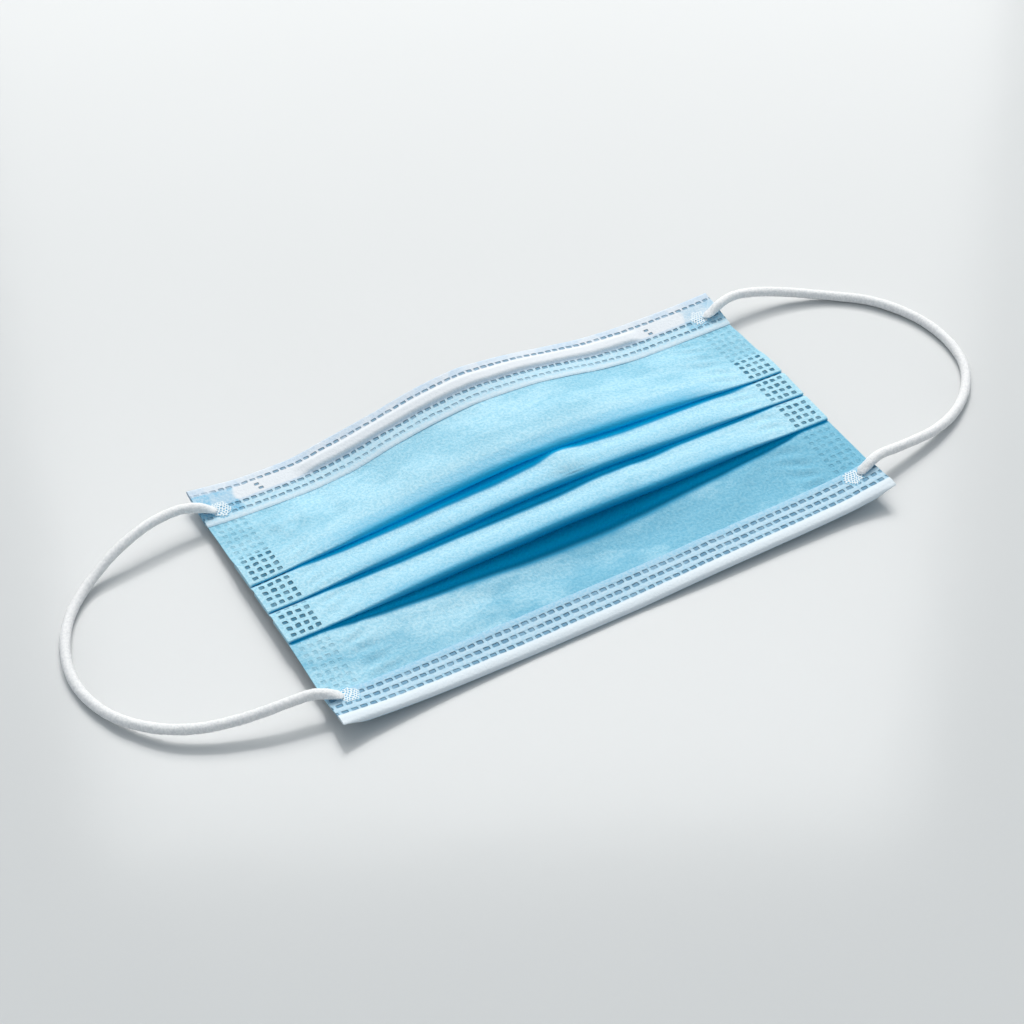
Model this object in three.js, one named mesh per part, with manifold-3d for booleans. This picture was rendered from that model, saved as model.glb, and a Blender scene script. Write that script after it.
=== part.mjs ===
import * as THREE from "three";
import Module from "manifold-3d";
import { mergeVertices } from "three/addons/utils/BufferGeometryUtils.js";

// A pleated surgical face mask, lying on a table with its outer side up and its nose edge arched.
// Millimetres. X runs along the mask from its left side to its right, Y from the chin edge to the nose edge,
// and Z up from the table. The origin is on the table, under the middle of the mask.

// Driving sizes
const WIDTH = 175; // between the side edges
const HEIGHT = 98.5; // from the chin edge to the nose edge, with the pleats folded
const WALL = 1.0; // the cloth layers of the panel together
const FLAP = 1.0; // the cloth of the two bindings
const GAP = 0.3; // between neighbouring pieces
const NOSE_BAND = 14.5; // width of the nose binding
const CHIN_BAND = 12.8; // width of the chin binding, its rolled hem included
const HEM_WIDTH = 3.9; // of the rolled hem alone
const HEM_THICK = 2.4;
const WELD_WIDTH = 9.5; // of the strip at each side where the pleats are welded shut
const PLEAT_FRONTS = [7.3, -4.1, -16.5]; // Y of the pleats' front folds
const PLEAT_DEPTH = 9.0; // from a front fold to its back fold
const BACK_RADIUS = 0.6; // of the cloth's middle round a back fold
const FRONT_RADIUS = 0.6; // round a front fold at the side welds
const FRONT_PUFF = [0.4, 0.4, 0.7]; // what the middle of the mask adds to that radius, for each pleat
const VALLEY_RADIUS = 6; // of the soft bend beside each binding
const PANEL_CROWN = 0.7; // how far the nose panel bulges up in the middle
const WIRE = { from: -51, to: 55, inset: 4.6, width: 3.2, thick: 1.0 }; // inset from the nose edge
const LOOP_DIAMETER = 2.9;
const PAD = { radius: 3.2, thick: 0.8, noseY: 39.6, chinY: -39.9, x: 80.4 };

// Heights above the table, a row for each section across the mask.
// Upper faces: nose, the nose edge; band, the nose binding's lower edge; front1 to front3, the front folds.
// Undersides: back1 to back3, the back folds; cut, the chin binding's upper edge; chin, the chin edge.
const COLUMNS = [
  "x", "nose", "band", "front1", "front2", "front3", "back1", "back2", "back3", "cut", "chin",
];
const SECTIONS = [
  [-87.5, 5.6, 3.5, 5.4, 5.5, 5.6, 0.2, 0.2, 0.2, 1.7, 4.2],
  [-72.0, 3.2, 2.7, 5.9, 5.9, 5.6, 0.0, 0.0, 0.0, 0.3, 2.2],
  [-58.0, 2.9, 2.4, 6.6, 6.3, 5.9, 0.6, 0.4, 0.2, 0.12, 1.0],
  [-44.0, 5.3, 3.3, 7.7, 7.5, 7.6, 1.6, 1.3, 1.2, 0.05, 0.4],
  [-28.0, 8.6, 7.4, 9.3, 9.5, 9.7, 3.0, 3.0, 3.0, 0.0, 0.0],
  [-14.0, 11.9, 9.9, 11.1, 10.7, 9.5, 5.0, 4.8, 3.6, 0.0, 0.0],
  [0.0, 13.4, 11.2, 12.4, 10.6, 8.8, 6.6, 5.0, 3.5, 0.0, 0.0],
  [14.0, 11.8, 10.7, 12.7, 10.6, 8.5, 7.0, 5.0, 3.2, 0.1, 0.5],
  [30.0, 8.7, 8.1, 11.7, 10.7, 8.3, 5.8, 4.8, 3.0, 0.4, 1.1],
  [44.0, 6.2, 5.1, 11.0, 9.3, 7.9, 4.9, 3.6, 2.6, 0.6, 1.3],
  [58.0, 5.2, 3.4, 8.9, 8.2, 6.9, 2.8, 2.2, 1.6, 0.8, 1.6],
  [72.0, 5.0, 3.4, 6.6, 6.7, 5.9, 0.0, 0.0, 0.1, 1.0, 2.2],
  [87.5, 5.4, 3.4, 5.6, 5.4, 5.4, 0.2, 0.2, 0.2, 2.6, 4.2],
];

// The middle lines of the two ear loops, from their nose ends to their chin ends.
const LEFT_LOOP = [
  [-84.6, 39.4, 6.6], [-88.2, 40.4, 7.1], [-95.3, 41.2, 7.8], [-102.9, 40.3, 7.7], [-111.1, 38.2, 6.4],
  [-117.6, 36.0, 4.6], [-123.3, 33.2, 2.9], [-128.8, 29.4, 1.9], [-133.9, 23.9, 1.6], [-137.9, 17.0, 1.6],
  [-140.6, 8.6, 1.6], [-141.2, 0.6, 1.6], [-139.9, -7.0, 1.8], [-137.0, -14.4, 2.3], [-132.2, -21.2, 3.0],
  [-126.0, -27.0, 3.8], [-118.2, -31.3, 4.5], [-109.3, -34.1, 5.5], [-100.0, -35.9, 6.7], [-91.5, -37.0, 7.3],
  [-87.4, -38.2, 7.1], [-84.6, -39.9, 6.7],
];
const RIGHT_LOOP = [
  [84.6, 39.6, 6.6], [87.6, 41.1, 6.9], [91.6, 42.0, 6.8], [97.0, 42.1, 6.2], [103.6, 40.9, 5.0],
  [110.4, 38.7, 3.6], [117.8, 35.2, 2.3], [124.6, 31.0, 1.6], [131.6, 25.1, 1.6], [137.0, 17.6, 1.6],
  [140.6, 9.2, 1.6], [142.0, 1.0, 1.6], [141.6, -7.0, 1.6], [139.4, -14.6, 1.6], [134.9, -21.3, 1.6],
  [128.8, -27.0, 1.7], [121.4, -31.3, 2.1], [113.6, -34.0, 2.9], [105.6, -35.5, 4.1], [98.0, -36.4, 5.3],
  [91.2, -37.4, 6.4], [87.4, -38.5, 6.9], [84.6, -39.9, 7.0],
];

// Points along each stretch of the panel's middle line
const ARC_POINTS = { valley: 3, front: 7, back: 5 };
const STATIONS_PER_ROW = 2; // sections of the solids for each row of the table

const wasm = await Module();
wasm.setup();

const along = (a, b, t) => a + (b - a) * t;

function smoothstep(from, to, x) {
  const t = Math.min(1, Math.max(0, (x - from) / (to - from)));
  return t * t * (3 - 2 * t);
}

// Slope of a column at row i: the curve through the rows never overshoots them.
function rowSlope(column, i) {
  const rise = (j) => SECTIONS[j + 1][column] - SECTIONS[j][column];
  const secant = (j) => rise(j) / (SECTIONS[j + 1][0] - SECTIONS[j][0]);
  if (i === 0) return secant(0);
  if (i === SECTIONS.length - 1) return secant(i - 1);
  const [before, after] = [secant(i - 1), secant(i)];
  return before * after > 0 ? (2 * before * after) / (before + after) : 0;
}

// Value of a named column at x.
function height(name, x) {
  const column = COLUMNS.indexOf(name);
  let i = 0;
  while (i < SECTIONS.length - 2 && x > SECTIONS[i + 1][0]) i++;
  const [x0, x1] = [SECTIONS[i][0], SECTIONS[i + 1][0]];
  const [y0, y1] = [SECTIONS[i][column], SECTIONS[i + 1][column]];
  const span = x1 - x0;
  const t = (x - x0) / span;
  const [m0, m1] = [rowSlope(column, i) * span, rowSlope(column, i + 1) * span];
  const t2 = t * t;
  const t3 = t2 * t;
  return (2 * t3 - 3 * t2 + 1) * y0 + (t3 - 2 * t2 + t) * m0 + (3 * t2 - 2 * t3) * y1 + (t3 - t2) * m1;
}

// How far the mask is puffed open at x: 0 at the side welds, 1 in the middle.
const puff = (x) => 1 - smoothstep(30, WIDTH / 2 - WELD_WIDTH, Math.abs(x));

// A point in a section, as a vector (y, z).
const at = (y, z) => new THREE.Vector2(y, z);

// The left normal of a heading.
const leftOf = (heading) => at(-Math.sin(heading), Math.cos(heading));

// The panel's middle line under a binding is straight: its edge point, its heading and its upper normal.
const RISE = FLAP + GAP + WALL / 2; // from that line to the binding's upper face
function noseFrame(x) {
  const edge = at(HEIGHT / 2, height("nose", x) - RISE);
  const end = at(HEIGHT / 2 - NOSE_BAND, height("band", x) - RISE);
  const heading = end.clone().sub(edge).normalize();
  return { edge, heading, up: at(heading.y, -heading.x) };
}
function chinFrame(x) {
  const edge = at(-HEIGHT / 2, height("chin", x) + WALL / 2);
  const end = at(-HEIGHT / 2 + CHIN_BAND, height("cut", x) + WALL / 2);
  const heading = end.clone().sub(edge).normalize();
  return { edge, heading, up: at(-heading.y, heading.x) };
}

// A point in a binding's frame: u inwards from the edge, w up from the panel's middle line.
const inFrame = (frame, u, w) =>
  frame.edge.clone().addScaledVector(frame.heading, u).addScaledVector(frame.up, w);

// The rods that the panel's middle line runs round, from the nose edge to the chin edge. turn is 1 where it
// turns down round a front fold, and -1 where it turns the other way.
function rodsAt(x) {
  const nose = noseFrame(x);
  const chin = chinFrame(x);
  const valley = (frame, width) => ({
    centre: inFrame(frame, width + GAP, VALLEY_RADIUS),
    radius: VALLEY_RADIUS,
    turn: -1,
    points: ARC_POINTS.valley,
  });
  const pleats = PLEAT_FRONTS.flatMap((front, k) => {
    const radius = FRONT_RADIUS + FRONT_PUFF[k] * puff(x);
    const frontReach = radius + WALL / 2;
    const backReach = BACK_RADIUS + WALL / 2;
    const lip = at(front + frontReach, height("front" + (k + 1), x) - frontReach);
    const back = at(front + PLEAT_DEPTH - backReach, height("back" + (k + 1), x) + backReach);
    return [
      { centre: lip, radius, turn: 1, points: ARC_POINTS.front },
      { centre: back, radius: BACK_RADIUS, turn: -1, points: ARC_POINTS.back },
    ];
  });
  const pin = (centre) => ({ centre, radius: 0, turn: 1, points: 1 });
  return [
    pin(inFrame(nose, FLAP + GAP, 0)),
    valley(nose, NOSE_BAND),
    ...pleats,
    valley(chin, CHIN_BAND),
    pin(inFrame(chin, HEM_WIDTH + GAP, 0)),
  ];
}

// The straight leg of a belt that leaves rod a and reaches rod b.
function legBetween(a, b) {
  const step = b.centre.clone().sub(a.centre);
  const lean = Math.asin((b.turn * b.radius - a.turn * a.radius) / step.length());
  const heading = Math.atan2(step.y, step.x) - lean;
  const touch = (rod) => rod.centre.clone().addScaledVector(leftOf(heading), -rod.turn * rod.radius);
  return { from: touch(a), to: touch(b), heading };
}

const legsAt = (rods) => rods.slice(1).map((rod, i) => legBetween(rods[i], rod));

// Points between the ends of leg i, with the crown that the nose panel has in the middle of the mask.
const LEG_POINTS = [1, 5, 1, 3, 1, 3, 1, 4, 1];
function legPoints(leg, i, x) {
  const crown = i === 1 ? PANEL_CROWN * puff(x) : 0;
  const length = leg.from.distanceTo(leg.to);
  return Array.from({ length: LEG_POINTS[i] }, (_, j) => {
    const t = (j + 1) / (LEG_POINTS[i] + 1);
    const rise = crown * Math.sin(Math.PI * t) ** 2;
    const tilt = Math.atan((crown * Math.PI * Math.sin(2 * Math.PI * t)) / length);
    const point = leg.from.clone().lerp(leg.to, t).addScaledVector(leftOf(leg.heading), -rise);
    return { point, heading: leg.heading - tilt };
  });
}

// Points round a rod, from the heading of the leg before it to that of the leg after it.
function arcPoints(rod, headingIn, headingOut) {
  const full = 2 * Math.PI;
  let turned = (((headingOut - headingIn) * rod.turn) % full + full) % full;
  if (turned > 1.5 * Math.PI) turned -= full;
  return Array.from({ length: rod.points }, (_, j) => {
    const heading = headingIn + (rod.turn * turned * j) / Math.max(1, rod.points - 1);
    const point = rod.centre.clone().addScaledVector(leftOf(heading), -rod.turn * rod.radius);
    return { point, heading };
  });
}

// The panel's section at x: a closed outline, its outer face first and its inner face back.
function panelSection(x) {
  const rods = rodsAt(x);
  const legs = legsAt(rods);
  const line = [];
  rods.forEach((rod, i) => {
    const headingIn = (legs[i - 1] ?? legs[i]).heading;
    const headingOut = (legs[i] ?? legs[i - 1]).heading;
    line.push(...arcPoints(rod, headingIn, headingOut));
    if (legs[i]) line.push(...legPoints(legs[i], i, x));
  });
  const face = (offset) => line.map((p) => p.point.clone().addScaledVector(leftOf(p.heading), offset));
  return [...face(-WALL / 2), ...face(WALL / 2).reverse()];
}

// What the side weld fills in pleat k: from the middle of its upper layer to that of its lower layer.
function weldSection(k, x) {
  const legs = legsAt(rodsAt(x));
  const [upper, inner, lower] = legs.slice(2 * k + 1, 2 * k + 4);
  const zOn = (leg, y) => along(leg.from.y, leg.to.y, (y - leg.from.x) / (leg.to.x - leg.from.x));
  const [front, back] = [inner.from.x, inner.to.x];
  return [
    at(front, zOn(upper, front)),
    at(back, zOn(upper, back)),
    at(back, zOn(lower, back)),
    at(front, zOn(lower, front)),
  ];
}

// The nose binding: a flap on the panel's outer face, a cap round the nose edge and the ridge over the wire.
function noseBindingSection(x) {
  const frame = noseFrame(x);
  const low = WALL / 2 + GAP;
  const top = low + FLAP;
  const from = smoothstep(WIRE.from - 6, WIRE.from - 1, x);
  const to = smoothstep(WIRE.to + 1, WIRE.to + 6, x);
  const lift = (WIRE.thick + GAP) * from * (1 - to);
  const inside = [WIRE.inset - GAP, WIRE.inset + WIRE.width + GAP];
  const outline = [
    [0, -WALL / 2], [0, top - 0.5], [0.5, top], [inside[0] - 1.3, top],
    [inside[0] - 0.4, top + lift * 0.9], [inside[0] + 0.8, top + lift], [inside[1] - 0.8, top + lift],
    [inside[1] + 0.4, top + lift * 0.9], [inside[1] + 1.3, top], [NOSE_BAND, top],
    [NOSE_BAND, low], [inside[1] + 0.4, low], [inside[1], low + lift],
    [inside[0], low + lift], [inside[0] - 0.4, low], [FLAP, low], [FLAP, -WALL / 2],
  ];
  return outline.map(([u, w]) => inFrame(frame, u, w));
}

// The wire, on the panel's outer face and under the ridge.
function wireSection(x) {
  const frame = noseFrame(x);
  const low = WALL / 2 + GAP;
  const bevel = 0.3;
  const { inset, width, thick } = WIRE;
  const outline = [
    [inset, low], [inset, low + thick - bevel], [inset + bevel, low + thick],
    [inset + width - bevel, low + thick], [inset + width, low + thick - bevel], [inset + width, low],
  ];
  return outline.map(([u, w]) => inFrame(frame, u, w));
}

// The chin binding: the rolled hem past the panel's end, and a flap on the panel's outer face.
function chinBindingSection(x) {
  const frame = chinFrame(x);
  const low = -WALL / 2;
  const high = low + HEM_THICK;
  const flap = WALL / 2 + GAP;
  const outline = [
    [0.8, low], [0.25, low + 0.35], [0, low + 1.0], [0.1, low + 1.6], [0.5, low + 2.1], [1.1, high],
    [HEM_WIDTH - 0.7, high], [HEM_WIDTH + 0.1, flap + FLAP], [CHIN_BAND, flap + FLAP],
    [CHIN_BAND, flap], [HEM_WIDTH, flap], [HEM_WIDTH, low],
  ];
  return outline.map(([u, w]) => inFrame(frame, u, w));
}

// X of the sections of a piece: the rows of the table between its ends, and even steps between them.
function stations(from, to) {
  const rows = SECTIONS.map((row) => row[0]).filter((x) => x > from + 1 && x < to - 1);
  const ends = [from, ...rows, to];
  const steps = ends.slice(1).flatMap((x, i) =>
    Array.from({ length: STATIONS_PER_ROW }, (_, j) => along(ends[i], x, j / STATIONS_PER_ROW)),
  );
  return [...steps, to];
}

// A closed solid through the outlines that section(x) gives at each x.
function loft(section, xs) {
  const rings = xs.map(section);
  const size = rings[0].length;
  const positions = rings.flatMap((ring, i) => ring.flatMap((p) => [xs[i], p.x, p.y]));
  const faces = [];
  for (let i = 0; i + 1 < rings.length; i++) {
    for (let j = 0; j < size; j++) {
      const next = (j + 1) % size;
      const [a, b, c, d] = [i * size + j, i * size + next, (i + 1) * size + next, (i + 1) * size + j];
      faces.push([a, b, c], [a, c, d]);
    }
  }
  const last = (rings.length - 1) * size;
  const capAt = (ring) => THREE.ShapeUtils.triangulateShape(ring, []);
  capAt(rings[0]).forEach(([a, b, c]) => faces.push([c, b, a]));
  capAt(rings.at(-1)).forEach(([a, b, c]) => faces.push([last + a, last + b, last + c]));
  // The end faces always point out, so the side faces follow the turn of the outline.
  const clockwise = THREE.ShapeUtils.isClockWise(rings[0]);
  const sideFaces = (rings.length - 1) * size * 2;
  const index = faces.flatMap((face, n) => (n < sideFaces && clockwise ? face.toReversed() : face));
  const geometry = new THREE.BufferGeometry();
  geometry.setAttribute("position", new THREE.Float32BufferAttribute(positions, 3));
  geometry.setIndex(index);
  return geometry;
}

function toSolid(geometry) {
  const bare = geometry.clone();
  bare.deleteAttribute("normal");
  bare.deleteAttribute("uv");
  const merged = mergeVertices(bare, 1e-3);
  return new wasm.Manifold(
    new wasm.Mesh({
      numProp: 3,
      vertProperties: merged.attributes.position.array,
      triVerts: new Uint32Array(merged.index.array),
    }),
  );
}

function toGeometry(solid) {
  const mesh = solid.getMesh();
  const geometry = new THREE.BufferGeometry();
  geometry.setAttribute("position", new THREE.BufferAttribute(mesh.vertProperties, 3));
  geometry.setIndex(new THREE.BufferAttribute(mesh.triVerts, 1));
  return geometry;
}

// The pleated panel, with the layers of each pleat welded together along both sides.
function pleatedPanel() {
  let solid = toSolid(loft(panelSection, stations(-WIDTH / 2, WIDTH / 2)));
  const inset = 0.4; // of the weld's end from the side edge
  for (const side of [-1, 1]) {
    const xs = [WIDTH / 2 - WELD_WIDTH, WIDTH / 2 - WELD_WIDTH / 2, WIDTH / 2 - inset].map((x) => side * x);
    for (const k of PLEAT_FRONTS.keys()) {
      solid = solid.add(toSolid(loft((x) => weldSection(k, x), xs.toSorted((a, b) => a - b))));
    }
  }
  return toGeometry(solid);
}

// A round cord along a smooth curve through the points.
function cord(points, diameter) {
  const route = new THREE.CatmullRomCurve3(points.map((p) => new THREE.Vector3(...p)));
  const sides = 8;
  const corners = Array.from({ length: sides }, (_, i) => {
    const angle = (2 * Math.PI * i) / sides;
    return at((diameter / 2) * Math.cos(angle), (diameter / 2) * Math.sin(angle));
  });
  const options = {
    steps: Math.round(route.getLength() / (diameter * 2)),
    extrudePath: route,
    bevelEnabled: false,
  };
  return new THREE.ExtrudeGeometry(new THREE.Shape(corners), options);
}

// A weld pad on a binding's upper face, tilted as that face is. frameAt is noseFrame or chinFrame.
function weldPad(frameAt, x, y) {
  const surface = (px, rise) => {
    const point = inFrame(frameAt(px), HEIGHT / 2 - Math.abs(y), RISE + rise);
    return new THREE.Vector3(px, point.x, point.y);
  };
  const reach = PAD.radius;
  const alongX = surface(x + reach, 0).sub(surface(x - reach, 0)).normalize();
  const across = frameAt(x).heading;
  const alongY = new THREE.Vector3(0, across.x, across.y);
  const normal = alongX.clone().cross(alongY).normalize();
  if (normal.z < 0) normal.negate();
  const mesh = new THREE.Mesh(new THREE.CylinderGeometry(PAD.radius, PAD.radius, PAD.thick, 16));
  mesh.quaternion.setFromUnitVectors(new THREE.Vector3(0, 1, 0), normal);
  mesh.position.copy(surface(x, 0)).addScaledVector(normal, GAP + PAD.thick / 2);
  return mesh;
}

const cloth = new THREE.MeshStandardMaterial({ color: 0x9bd8ee, roughness: 0.9, metalness: 0 });
const band = new THREE.MeshStandardMaterial({ color: 0xdcebf4, roughness: 0.9, metalness: 0 });
const hem = new THREE.MeshStandardMaterial({ color: 0xeef3f6, roughness: 0.9, metalness: 0 });
const elastic = new THREE.MeshStandardMaterial({ color: 0xf1f2f2, roughness: 0.85, metalness: 0 });
const steel = new THREE.MeshStandardMaterial({ color: 0xb8bcc0, roughness: 0.4, metalness: 1 });
const weld = new THREE.MeshStandardMaterial({ color: 0xd6ecf6, roughness: 0.7, metalness: 0 });

const mask = new THREE.Group();

function addPiece(name, piece, material) {
  const mesh = piece.isMesh ? piece : new THREE.Mesh(piece);
  mesh.name = name;
  mesh.material = material;
  mask.add(mesh);
}

addPiece("pleated_panel", pleatedPanel(), cloth);
addPiece("nose_binding", loft(noseBindingSection, stations(-WIDTH / 2, WIDTH / 2)), band);
addPiece("nose_wire", loft(wireSection, stations(WIRE.from, WIRE.to)), steel);
addPiece("chin_binding", loft(chinBindingSection, stations(-WIDTH / 2, WIDTH / 2)), hem);
addPiece("ear_loop_left", cord(LEFT_LOOP, LOOP_DIAMETER), elastic);
addPiece("ear_loop_right", cord(RIGHT_LOOP, LOOP_DIAMETER), elastic);
for (const [side, x] of [["left", -PAD.x], ["right", PAD.x]]) {
  addPiece("loop_weld_nose_" + side, weldPad(noseFrame, x, PAD.noseY), weld);
  addPiece("loop_weld_chin_" + side, weldPad(chinFrame, x, PAD.chinY), weld);
}

export default mask;
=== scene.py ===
"""The looks of a pleated surgical face mask that lies on a table.

Sizes are in millimetres until a mesh is made.
"""

import math
from functools import partial

import bpy
import numpy as np
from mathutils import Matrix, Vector


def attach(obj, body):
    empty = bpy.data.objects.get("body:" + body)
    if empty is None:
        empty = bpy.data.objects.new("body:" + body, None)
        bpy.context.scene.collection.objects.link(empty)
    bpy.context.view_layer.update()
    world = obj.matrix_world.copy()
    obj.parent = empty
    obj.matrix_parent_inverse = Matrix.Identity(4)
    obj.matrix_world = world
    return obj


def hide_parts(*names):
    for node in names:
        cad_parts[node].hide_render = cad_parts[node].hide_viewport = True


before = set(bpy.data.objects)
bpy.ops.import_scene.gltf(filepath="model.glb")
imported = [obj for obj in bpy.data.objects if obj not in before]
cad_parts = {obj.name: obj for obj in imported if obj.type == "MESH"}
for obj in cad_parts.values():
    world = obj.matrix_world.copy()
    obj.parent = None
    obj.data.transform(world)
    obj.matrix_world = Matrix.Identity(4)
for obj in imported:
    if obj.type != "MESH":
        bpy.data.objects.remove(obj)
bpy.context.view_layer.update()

MM = 0.001
WIDTH = 175.0
HEIGHT = 98.5
CLOTH = 0.38  # thickness of the panel's layers together
FLAP = 0.34  # thickness of a binding's cloth
UNDER_FLAP = FLAP + 0.04  # from a binding's upper face down to the panel's
LAYER = 0.42  # from one layer to the next where they are welded together
NOSE_BAND = 14.5
CHIN_BAND = 12.8
CHIN_RISE = 2.3  # from the table side of the chin binding to its upper face
PUFFED_TO = 36.0  # X up to which the mask is puffed open in full
WELD_FROM = 76.0  # X where the welded strip at each side begins
PLEAT_FRONTS = [7.3, -4.1, -16.5]
PLEAT_DEPTHS = [10.6, 9.0, 9.6]
BACK_RADIUS = 0.12
LIP_RADIUS = 0.42  # of a front fold's outer face at the side welds
LIP_PUFF = [1.0, 1.0, 1.3]  # what the middle of the mask adds to it
LOOP_DIAMETER = 2.9

# Heights above the table, a row for each section: the upper faces of the nose edge and of the band's cut
# edge, each front fold with the opening under it, and the undersides at the chin flap's cut edge and at the
# chin edge.
COLUMNS = ["x", "nose", "band", "front1", "gap1", "front2", "gap2", "front3", "gap3", "cut", "chin"]
SECTIONS = np.array([
    [-87.5, 5.6, 3.6, 5.2, 0.05, 5.5, 0.05, 5.6, 0.9, 2.0, 4.2],
    [-79.0, 4.2, 3.0, 5.5, 0.1, 5.5, 0.2, 5.5, 0.9, 1.0, 3.0],
    [-72.0, 3.2, 2.7, 6.2, 0.9, 5.9, 0.8, 5.7, 1.5, 0.3, 2.2],
    [-58.0, 2.9, 2.4, 7.3, 1.8, 7.0, 1.8, 6.4, 2.9, 0.12, 1.0],
    [-44.0, 5.3, 3.3, 8.7, 2.3, 7.6, 2.1, 7.1, 4.2, 0.05, 0.4],
    [-28.0, 8.6, 7.4, 10.5, 2.9, 8.7, 2.6, 7.7, 5.3, 0.0, 0.0],
    [-14.0, 11.9, 9.9, 11.8, 3.4, 9.8, 3.3, 8.0, 6.3, 0.0, 0.0],
    [0.0, 13.4, 11.2, 12.5, 3.0, 10.2, 3.4, 8.4, 6.9, 0.0, 0.0],
    [9.0, 12.5, 10.9, 12.3, 1.7, 10.1, 3.0, 8.3, 7.0, 0.05, 0.3],
    [18.0, 11.1, 10.3, 11.9, 2.4, 9.9, 2.6, 8.1, 6.6, 0.15, 0.7],
    [30.0, 8.7, 8.1, 10.9, 2.6, 9.3, 2.7, 7.6, 5.5, 0.4, 1.1],
    [44.0, 6.2, 5.1, 9.7, 2.2, 8.2, 1.8, 7.3, 4.5, 0.6, 1.3],
    [58.0, 5.2, 3.6, 8.3, 1.7, 7.5, 1.6, 6.8, 3.5, 0.8, 1.6],
    [72.0, 5.0, 3.5, 6.6, 1.0, 6.5, 1.0, 5.9, 1.8, 1.2, 2.2],
    [79.0, 5.1, 3.4, 5.9, 0.2, 5.9, 0.2, 5.6, 0.9, 1.9, 3.0],
    [87.5, 5.4, 3.4, 5.6, 0.05, 5.4, 0.05, 5.4, 0.9, 3.0, 4.2],
])

# The middle lines of the ear loops, from their nose ends to their chin ends, as in the CAD part
LEFT_LOOP = [
    [-82.6, 39.4, 4.3], [-84.4, 39.5, 5.0], [-87.0, 40.1, 6.3], [-90.5, 40.9, 7.3],
    [-95.3, 41.2, 7.8], [-102.9, 40.3, 7.7], [-111.1, 38.2, 6.4], [-117.6, 36.0, 4.6],
    [-123.3, 33.2, 2.9], [-128.8, 29.4, 1.9], [-133.9, 23.9, 1.6], [-137.9, 17.0, 1.6],
    [-140.6, 8.6, 1.6], [-141.2, 0.6, 1.6], [-139.9, -7.0, 1.8], [-137.0, -14.4, 2.3],
    [-132.2, -21.2, 3.0], [-126.0, -27.0, 3.8], [-118.2, -31.3, 4.5], [-109.3, -34.1, 5.5],
    [-100.0, -35.9, 6.7], [-91.5, -37.0, 7.3], [-87.6, -38.2, 6.8], [-84.8, -39.2, 5.9],
    [-82.7, -39.5, 4.9],
]
RIGHT_LOOP = [
    [81.3, 40.3, 4.7], [83.8, 40.2, 5.5], [87.0, 41.0, 6.5], [91.6, 42.0, 6.8],
    [97.0, 42.1, 6.2], [103.6, 40.9, 5.0], [110.4, 38.7, 3.6], [117.8, 35.2, 2.3],
    [124.6, 31.0, 1.6], [131.6, 25.1, 1.6], [137.0, 17.6, 1.6], [140.6, 9.2, 1.6],
    [142.0, 1.0, 1.6], [141.6, -7.0, 1.6], [139.4, -14.6, 1.6], [134.9, -21.3, 1.6],
    [128.8, -27.0, 1.7], [121.4, -31.3, 2.1], [113.6, -34.0, 2.9], [105.6, -35.5, 4.1],
    [98.0, -36.4, 5.3], [91.2, -37.4, 6.8], [87.2, -38.4, 7.0], [84.0, -39.3, 6.3],
    [81.3, -39.6, 5.2],
]


# Curves and noise

NOISE_GRID = 64
NOISE_SHIFT = 200


def smoothstep(low, high, value):
    t = np.clip((np.asarray(value, float) - low) / (high - low), 0, 1)
    return t * t * (3 - 2 * t)


def slopes(xs, ys):
    """Slopes of a smooth curve through points that never overshoots them."""
    secants = np.diff(ys) / np.diff(xs)
    inner = np.zeros(len(xs) - 2)
    same = secants[:-1] * secants[1:] > 0
    before, after = secants[:-1][same], secants[1:][same]
    inner[same] = 2 * before * after / (before + after)
    return np.concatenate([[secants[0]], inner, [secants[-1]]])


def curve_through(xs, ys, at, last_slope=None):
    """Value and slope at each of at, on the smooth curve through the points."""
    xs, ys, at = (np.asarray(v, float) for v in (xs, ys, at))
    m = slopes(xs, ys)
    if last_slope is not None:
        m[-1] = last_slope
    i = np.clip(np.searchsorted(xs, at, side="right") - 1, 0, len(xs) - 2)
    span = xs[i + 1] - xs[i]
    t = (at - xs[i]) / span
    value = (
        (2 * t**3 - 3 * t**2 + 1) * ys[i]
        + (t**3 - 2 * t**2 + t) * span * m[i]
        + (3 * t**2 - 2 * t**3) * ys[i + 1]
        + (t**3 - t**2) * span * m[i + 1]
    )
    slope = (
        (6 * t**2 - 6 * t) * (ys[i] - ys[i + 1]) / span
        + (3 * t**2 - 4 * t + 1) * m[i]
        + (3 * t**2 - 2 * t) * m[i + 1]
    )
    return value, slope


def smooth_points(points, steps):
    """A smooth curve through points, with steps points for each of them."""
    points = np.asarray(points, float)
    padded = np.vstack([2 * points[0] - points[1], points, 2 * points[-1] - points[-2]])
    out = []
    for i in range(len(points) - 1):
        a, b, c, d = padded[i : i + 4]
        t = np.linspace(0, 1, steps, endpoint=False)[:, None]
        curve = 2 * b + (c - a) * t + (2 * a - 5 * b + 4 * c - d) * t**2 + (3 * b - a - 3 * c + d) * t**3
        out.append(0.5 * curve)
    return np.vstack(out + [points[-1:]])


def height(name, x):
    return float(curve_through(SECTIONS[:, 0], SECTIONS[:, COLUMNS.index(name)], [x])[0][0])


def puff(x):
    """How far the mask is puffed open: 0 at the side welds, 1 in the middle."""
    return 1 - float(smoothstep(PUFFED_TO, WELD_FROM, abs(x)))


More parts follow.
